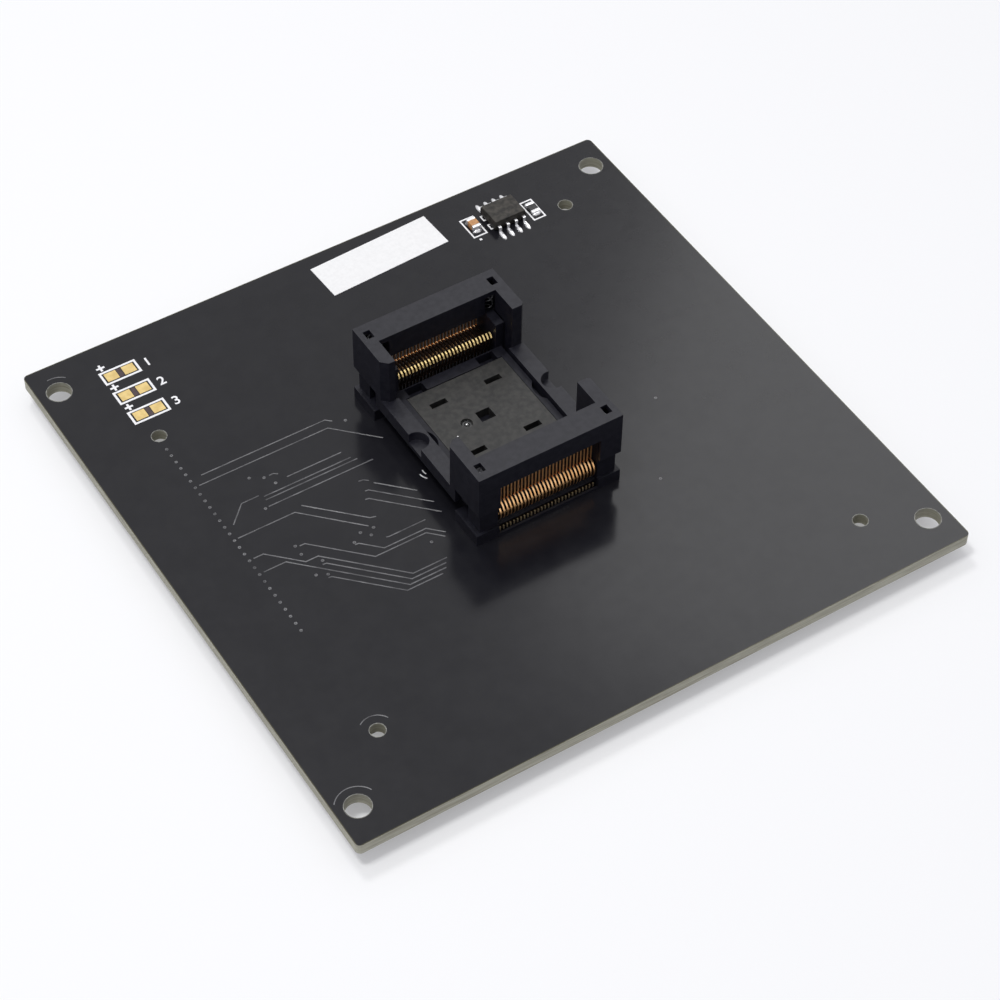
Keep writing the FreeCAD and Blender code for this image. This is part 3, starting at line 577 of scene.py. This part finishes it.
pit_painted_shade, shader = finish("pit_painted_shade", (0.003, 0.003, 0.004), 0.3)
polish(pit_painted_shade, shader, grain(pit_painted_shade, 8.0), 0.2, 0.45)
pit_shade_ring = repeated("pit_shade_ring", ring(0.5 * MM, 0.44 * MM, 0.04 * MM, 32,
                                     SEAT_HIGH.z - EJECTOR_DEPTH), [EJECTOR_PIT])
coat_with(pit_shade_ring, pit_painted_shade)
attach(pit_shade_ring, "base")

glint_painted_grey, shader = finish("glint_painted_grey", (0.5, 0.5, 0.5), 0.12, 0.6)
polish(glint_painted_grey, shader, grain(glint_painted_grey, 6.0), 0.08, 0.2)
pips = [repeated("pip", bead(0.2, 0.2, 0.16, SEAT_HIGH.z - EJECTOR_DEPTH), [EJECTOR_PIT]),
        repeated("drop", bead(0.11, 0.11, 0.06, SEAT_HIGH.z), [FLASH_DROP])]
ejector_pips = joined("ejector_pips", pips)
coat_with(ejector_pips, glint_painted_grey)
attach(ejector_pips, "base")


# Contacts: strips stamped from copper alloy and gold-plated. The C-shaped springs carry the
# levers; when the cover comes down its cams push the levers outwards and the springs bend.
# Painted light on the contacts: the levers' arms and the hidden roots are painted near black as shade
# under the cover. The levers' uprights are painted orange as a glow, and the noses are painted pale
# gold as their highlight.
NOSE_PAINTED_HIGHLIGHT = (1.0, 0.76, 0.34)
ALLOY_PAINTED_SHADE = (0.022, 0.013, 0.010)
UPRIGHT_PAINTED_GLOW = (0.95, 0.50, 0.20)
TAIL_END = (0.62, 0.50, 0.30)
NOSE_REACH = 10.05
NOSE_HEIGHT = 10.0
LEVER_REACH = 13.0
TAIL_REACH = 14.05


def plated(name, outer_reach, outer_colour, nose_height=None):
    """Alloy painted near black within a distance from the socket's middle as painted shade, lighter
    beyond it, and with a nose height bright on the noses as painted highlight.
    """
    material, shader = finish(name, ALLOY_PAINTED_SHADE, 0.3, 0.75)
    tree = material.node_tree
    place = tree.nodes.new("ShaderNodeTexCoord")
    centred = tree.nodes.new("ShaderNodeMapping")
    centred.inputs["Location"].default_value = (0, -SOCKET_MIDDLE.y, 0)
    split = tree.nodes.new("ShaderNodeSeparateXYZ")
    distance = tree.nodes.new("ShaderNodeMath")
    distance.operation = "ABSOLUTE"
    tree.links.new(place.outputs["Object"], centred.inputs["Vector"])
    tree.links.new(centred.outputs["Vector"], split.inputs["Vector"])
    tree.links.new(split.outputs["Y"], distance.inputs[0])
    outside = tree.nodes.new("ShaderNodeMath")
    outside.operation = "GREATER_THAN"
    outside.inputs[1].default_value = outer_reach * MM
    outer = tree.nodes.new("ShaderNodeMix")
    outer.data_type = "RGBA"
    outer.inputs["A"].default_value = (*ALLOY_PAINTED_SHADE, 1.0)
    outer.inputs["B"].default_value = (*outer_colour, 1.0)
    tree.links.new(distance.outputs[0], outside.inputs[0])
    tree.links.new(outside.outputs[0], outer.inputs["Factor"])
    tree.links.new(outer.outputs["Result"], shader.inputs["Base Color"])
    if nose_height:
        inside = tree.nodes.new("ShaderNodeMath")
        inside.operation = "LESS_THAN"
        inside.inputs[1].default_value = NOSE_REACH * MM
        above = tree.nodes.new("ShaderNodeMath")
        above.operation = "GREATER_THAN"
        above.inputs[1].default_value = nose_height * MM
        both = tree.nodes.new("ShaderNodeMath")
        both.operation = "MULTIPLY"
        nose = tree.nodes.new("ShaderNodeMix")
        nose.data_type = "RGBA"
        nose.inputs["B"].default_value = (*NOSE_PAINTED_HIGHLIGHT, 1.0)
        tree.links.new(distance.outputs[0], inside.inputs[0])
        tree.links.new(split.outputs["Z"], above.inputs[0])
        tree.links.new(inside.outputs[0], both.inputs[0])
        tree.links.new(above.outputs[0], both.inputs[1])
        tree.links.new(both.outputs[0], nose.inputs["Factor"])
        tree.links.new(outer.outputs["Result"], nose.inputs["A"])
        tree.links.new(nose.outputs["Result"], shader.inputs["Base Color"])
    polish(material, shader, grain(material, 5.0), 0.24, 0.42)
    return material


def dull_sides(piece, bright, dull):
    """The strips' flat sides take a dark copy of the alloy as painted shade; their edges keep the
    other material.
    """
    coat_with(piece, bright, dull)
    for facet in piece.data.polygons:
        facet.material_index = 1 if abs(facet.normal.x) > 0.5 else 0


contact_gold, shader = finish("contact_gold", (0.90, 0.56, 0.26), 0.3, 1.0)
tint(contact_gold, shader, grain(contact_gold, 1.5), (0.70, 0.37, 0.15), (0.94, 0.58, 0.29))
polish(contact_gold, shader, grain(contact_gold, 5.0), 0.24, 0.42)
# A dark copy of the contact alloy, painted shade for the strips' flat sides.
painted_side_shade, shader = finish("painted_side_shade", (0.08, 0.04, 0.02), 0.5, 0.9)
tint(painted_side_shade, shader, grain(painted_side_shade, 2.0), (0.04, 0.02, 0.012), (0.12, 0.06, 0.03))
lever_alloy = plated("lever_alloy", LEVER_REACH, UPRIGHT_PAINTED_GLOW, NOSE_HEIGHT)
root_alloy = plated("root_alloy", TAIL_REACH, TAIL_END)
for end in ("front", "rear"):
    dull_sides(nodes[end + "_contact_levers"], lever_alloy, painted_side_shade)
    dull_sides(nodes[end + "_contact_roots"], root_alloy, painted_side_shade)

CONTACT_COUNT = 28
SPRING_STEPS = 14
SPRING_WIDTH = 0.2 * MM
SPRING_STRIP = 0.3 * MM
WELD_DISTANCE = 0.002 * MM


def spring_row(end, side):
    """A row of C-shaped strips, each spun from its lower end to its upper end."""
    low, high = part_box(f"{end}_contact_springs")
    middle_z = (low.z + high.z) / 2
    centre_y = low.y if side > 0 else high.y
    first = low.x + SPRING_WIDTH / 2
    pitch = (high.x - low.x - SPRING_WIDTH) / (CONTACT_COUNT - 1)
    let_go()
    bpy.ops.mesh.primitive_plane_add(
        size=1.0, rotation=(radians(90), 0, 0),
        location=(0, centre_y, low.z + SPRING_STRIP / 2))
    strip = bpy.context.view_layer.objects.active
    strip.scale = (SPRING_WIDTH, SPRING_STRIP, 1.0)
    bpy.ops.object.transform_apply(location=True, rotation=True, scale=True)
    bpy.ops.object.mode_set(mode="EDIT")
    bpy.ops.mesh.select_all(action="SELECT")
    bpy.ops.mesh.spin(
        steps=SPRING_STEPS, angle=-side * pi, center=(0, centre_y, middle_z), axis=(1, 0, 0))
    bpy.ops.mesh.select_all(action="SELECT")
    bpy.ops.mesh.remove_doubles(threshold=WELD_DISTANCE)
    bpy.ops.mesh.normals_make_consistent(inside=False)
    take(strip)
    bpy.ops.object.shade_smooth_by_angle(angle=radians(40))
    places = [((first + number * pitch) / MM, 0.0) for number in range(CONTACT_COUNT)]
    row = repeated(end + "_spring_arcs", strip, places)
    dull_sides(row, contact_gold, painted_side_shade)
    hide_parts(f"{end}_contact_springs")
    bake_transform(row)


spring_row("front", -1)
spring_row("rear", 1)


# Return springs: four small coils of steel wire under the cover's corners, seen through the
# vents. They are compressed between the base's posts and the cover.
COIL_WIRE = 0.2 * MM
COIL_TURNS = 9
COIL_STEPS = 14

spring_wire, shader = finish("spring_wire", (0.16, 0.16, 0.17), 0.35, 0.8)
polish(spring_wire, shader, grain(spring_wire, 4.0), 0.28, 0.45)


def return_spring(end, hand):
    """A helix of round wire with flat end turns, in place of the CAD sleeve."""
    low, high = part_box(f"{end}_{hand}_return_spring")
    centre = (low + high) / 2
    radius = (high.x - low.x) / 2 - COIL_WIRE / 2
    height = high.z - low.z - COIL_WIRE
    wire = bpy.data.curves.new("coil", "CURVE")
    wire.dimensions = "3D"
    wire.bevel_depth = COIL_WIRE / 2
    wire.bevel_resolution = 1
    wire.use_fill_caps = True
    spline = wire.splines.new("POLY")
    count = COIL_TURNS * COIL_STEPS
    spline.points.add(count)
    for number, point in enumerate(spline.points):
        turn = 2 * pi * number / COIL_STEPS
        share = min(max((number / COIL_STEPS - 1) / (COIL_TURNS - 2), 0.0), 1.0)
        point.co = (centre.x + radius * cos(turn), centre.y + radius * sin(turn),
                    low.z + COIL_WIRE / 2 + share * height, 1.0)
    coil = bpy.data.objects.new(f"{end}_{hand}_coil", wire)
    bpy.context.collection.objects.link(coil)
    take(coil)
    bpy.ops.object.convert(target="MESH")
    coil = bpy.context.view_layer.objects.active
    bpy.ops.object.shade_smooth()
    coat_with(coil, spring_wire)
    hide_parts(f"{end}_{hand}_return_spring")
    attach(coil, "base")
    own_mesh(coil)


for end in ("front", "rear"):
    for hand in ("left", "right"):
        return_spring(end, hand)


# Connectors: long grooved housings under the left and right edges, on which the board stands.
# Two rows of gold contacts line each groove, with a soldered foot outside for each contact.
CONTACT_STEP = 1.27 * MM
END_WALLS = 6.4 * MM
FOOT = (0.9, 0.42, 0.2)
FOOT_OVERLAP = 0.2 * MM
BLADE = (0.18, 0.42, 1.3)
BLADE_OFFSET = 0.82 * MM
BLADE_HEIGHT = 0.95 * MM
BROKEN_EDGE = 0.04 * MM

connector_black = matt_plastic(
    "connector_black", (0.012, 0.012, 0.012), (0.020, 0.020, 0.020), 0.3, 0.45)


def stamped_bar(size, height):
    """A short bar of strip with broken edges, modelled above the origin."""
    let_go()
    bpy.ops.mesh.primitive_cube_add(size=1.0, location=(0, 0, height))
    bar = bpy.context.view_layer.objects.active
    bar.scale = tuple(length * MM for length in size)
    bpy.ops.object.transform_apply(location=True, rotation=True, scale=True)
    bpy.ops.object.mode_set(mode="EDIT")
    bpy.ops.mesh.select_all(action="SELECT")
    bpy.ops.mesh.bevel(offset=BROKEN_EDGE, segments=1)
    let_go()
    return bar


def connector(hand):
    """The housing with its rows of blades and feet."""
    node = f"{hand}_connector_housing"
    low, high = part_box(node)
    housing = moulding(node, f"{hand}_housing", "base", 0.12, connector_black)
    middle = (low + high) / 2
    count = int((high.y - low.y - END_WALLS) // CONTACT_STEP) + 1
    rows = [middle.y + (number - (count - 1) / 2) * CONTACT_STEP for number in range(count)]
    foot_offset = (high.x - low.x) / 2 + FOOT[0] / 2 * MM - FOOT_OVERLAP
    parts = []
    for size, offset, height in ((FOOT, foot_offset, BOARD_UNDER - FOOT[2] / 2 * MM),
                                 (BLADE, BLADE_OFFSET, low.z + BLADE_HEIGHT)):
        places = [((middle.x + side * offset) / MM, y / MM) for y in rows for side in (-1, 1)]
        parts.append(repeated("bars", stamped_bar(size, height), places))
    contacts = joined(f"{hand}_connector_contacts", parts)
    coat_with(contacts, contact_gold)
    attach(contacts, "base")


connector("left")
connector("right")


# Solder joints under the socket: a small cone of solder around each contact's tail, in two
# staggered rows at each end.
TAIL_INNER = 12.0
TAIL_OUTER = 13.4
CONTACT_PITCH = 0.5
JOINT_HEIGHT = 0.5 * MM
tail_places = []
for side in (-1, 1):
    for number in range(CONTACT_COUNT):
        x = SOCKET_MIDDLE.x / MM + (number - (CONTACT_COUNT - 1) / 2) * CONTACT_PITCH
        tail = TAIL_OUTER if number % 2 else TAIL_INNER
        tail_places.append((x, SOCKET_MIDDLE.y / MM + side * tail))
let_go()
bpy.ops.mesh.primitive_cone_add(
    vertices=12, radius1=0.16 * MM, radius2=0.4 * MM, depth=JOINT_HEIGHT,
    location=(0, 0, BOARD_UNDER - JOINT_HEIGHT / 2))
cone = bpy.context.view_layer.objects.active
bpy.ops.object.transform_apply(location=True, rotation=True, scale=True)
bpy.ops.object.shade_smooth_by_angle(angle=radians(40))
solder_joints = repeated("solder_joints", cone, tail_places)
coat_with(solder_joints, solder)
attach(solder_joints, "base")


# Table: a plain white sheet under and behind the part, which keeps the part's shadow. Eyes and
# polished surfaces see it a little lighter, and from below it isn't there.
GLOW_SHARE = 0.32
TABLE_SIZE = 6.0


def seen_directly(tree):
    """One for what the camera, a polished surface or a clear one sees, else nothing."""
    path = tree.nodes.new("ShaderNodeLightPath")
    polished = tree.nodes.new("ShaderNodeMath")
    polished.operation = "MAXIMUM"
    seen = tree.nodes.new("ShaderNodeMath")
    seen.operation = "MAXIMUM"
    tree.links.new(path.outputs["Is Glossy Ray"], polished.inputs[0])
    tree.links.new(path.outputs["Is Transmission Ray"], polished.inputs[1])
    tree.links.new(path.outputs["Is Camera Ray"], seen.inputs[0])
    tree.links.new(polished.outputs["Value"], seen.inputs[1])
    return seen.outputs["Value"]


floor_white, shader = finish("floor_white", (0.96, 0.965, 0.97), 0.7)
shader.inputs["Specular IOR Level"].default_value = 0.1
tree = floor_white.node_tree
share = tree.nodes.new("ShaderNodeMath")
share.operation = "MULTIPLY"
share.inputs[1].default_value = GLOW_SHARE
glow = tree.nodes.new("ShaderNodeEmission")
lighter = tree.nodes.new("ShaderNodeMixShader")
facing = tree.nodes.new("ShaderNodeNewGeometry")
nothing = tree.nodes.new("ShaderNodeBsdfTransparent")
one_sided = tree.nodes.new("ShaderNodeMixShader")
tree.links.new(seen_directly(tree), share.inputs[0])
tree.links.new(share.outputs["Value"], lighter.inputs["Fac"])
tree.links.new(shader.outputs["BSDF"], lighter.inputs[1])
tree.links.new(glow.outputs["Emission"], lighter.inputs[2])
tree.links.new(facing.outputs["Backfacing"], one_sided.inputs["Fac"])
tree.links.new(lighter.outputs["Shader"], one_sided.inputs[1])
tree.links.new(nothing.outputs["BSDF"], one_sided.inputs[2])
tree.links.new(one_sided.outputs["Shader"], tree.nodes["Material Output"].inputs["Surface"])
let_go()
bpy.ops.mesh.primitive_plane_add(size=TABLE_SIZE, location=(0, 0, 0))
table = bpy.context.view_layer.objects.active
table.name = "table"
coat_with(table, floor_white)


# Light: a pale room that is brighter overhead, one lamp behind and above the part, one nearly
# overhead, and a broad panel at the rear right that only polished surfaces show. Eyes and
# polished surfaces see the room as plain white.
world = bpy.data.worlds.new("pale_room")
bpy.context.scene.world = world
world.use_nodes = True
tree = world.node_tree
room = tree.nodes["Background"]
direction = tree.nodes.new("ShaderNodeTexCoord")
split = tree.nodes.new("ShaderNodeSeparateXYZ")
overhead = tree.nodes.new("ShaderNodeValToRGB")
overhead.color_ramp.elements[0].color = (0.11, 0.11, 0.20, 1.0)
overhead.color_ramp.elements[1].color = (0.62, 0.62, 0.63, 1.0)
backdrop = tree.nodes.new("ShaderNodeBackground")
backdrop.inputs["Color"].default_value = (1.0, 1.0, 1.0, 1.0)
choice = tree.nodes.new("ShaderNodeMixShader")
tree.links.new(direction.outputs["Generated"], split.inputs["Vector"])
tree.links.new(split.outputs["Z"], overhead.inputs["Fac"])
tree.links.new(overhead.outputs["Color"], room.inputs["Color"])
tree.links.new(seen_directly(tree), choice.inputs["Fac"])
tree.links.new(room.outputs["Background"], choice.inputs[1])
tree.links.new(backdrop.outputs["Background"], choice.inputs[2])
tree.links.new(choice.outputs["Shader"], tree.nodes["World Output"].inputs["Surface"])


LAMP_SIZE = 0.12
PANEL_SIZE = 0.44


def panel(name, size, power, place):
    """A square lamp that faces the part."""
    data = bpy.data.lights.new(name, "AREA")
    data.shape = "SQUARE"
    data.size = size
    data.energy = power
    lamp = bpy.data.objects.new(name, data)
    bpy.context.collection.objects.link(lamp)
    lamp.location = place
    lamp.rotation_euler = (-lamp.location).to_track_quat("-Z", "Y").to_euler()
    return lamp


panel("rear_lamp", LAMP_SIZE, 0.95, (0.0, 0.285, 0.64))
panel("top_lamp", LAMP_SIZE, 1.85, (-0.2, -0.015, 0.67))
right_panel = panel("right_panel", PANEL_SIZE, 1.4, (0.47, 0.225, 0.42))
right_panel.visible_diffuse = False


# Camera: at the photograph's place, from the front left and above, with a slightly turned
# horizon and a long lens.
CAMERA_AZIMUTH = radians(-32.958)
CAMERA_ELEVATION = radians(48.990)
CAMERA_ROLL = radians(0.9107)
CAMERA_DISTANCE = 347.04 * MM
LOOKED_AT = Vector((-2.562 * MM, -7.321 * MM, BOARD_TOP))

back = Vector((sin(CAMERA_AZIMUTH) * cos(CAMERA_ELEVATION),
               -cos(CAMERA_AZIMUTH) * cos(CAMERA_ELEVATION), sin(CAMERA_ELEVATION)))
camera_data = bpy.data.cameras.new("camera")
camera_data.sensor_width = 36.0
camera_data.lens = 101.73
camera_data.clip_start = 0.01
camera = bpy.data.objects.new("camera", camera_data)
bpy.context.collection.objects.link(camera)
camera.location = LOOKED_AT + back * CAMERA_DISTANCE
level = (-back).to_track_quat("-Z", "Y")
camera.rotation_mode = "QUATERNION"
camera.rotation_quaternion = level @ Quaternion((0, 0, 1), CAMERA_ROLL)
bpy.context.scene.camera = camera
bpy.context.scene.view_settings.view_transform = "Standard"
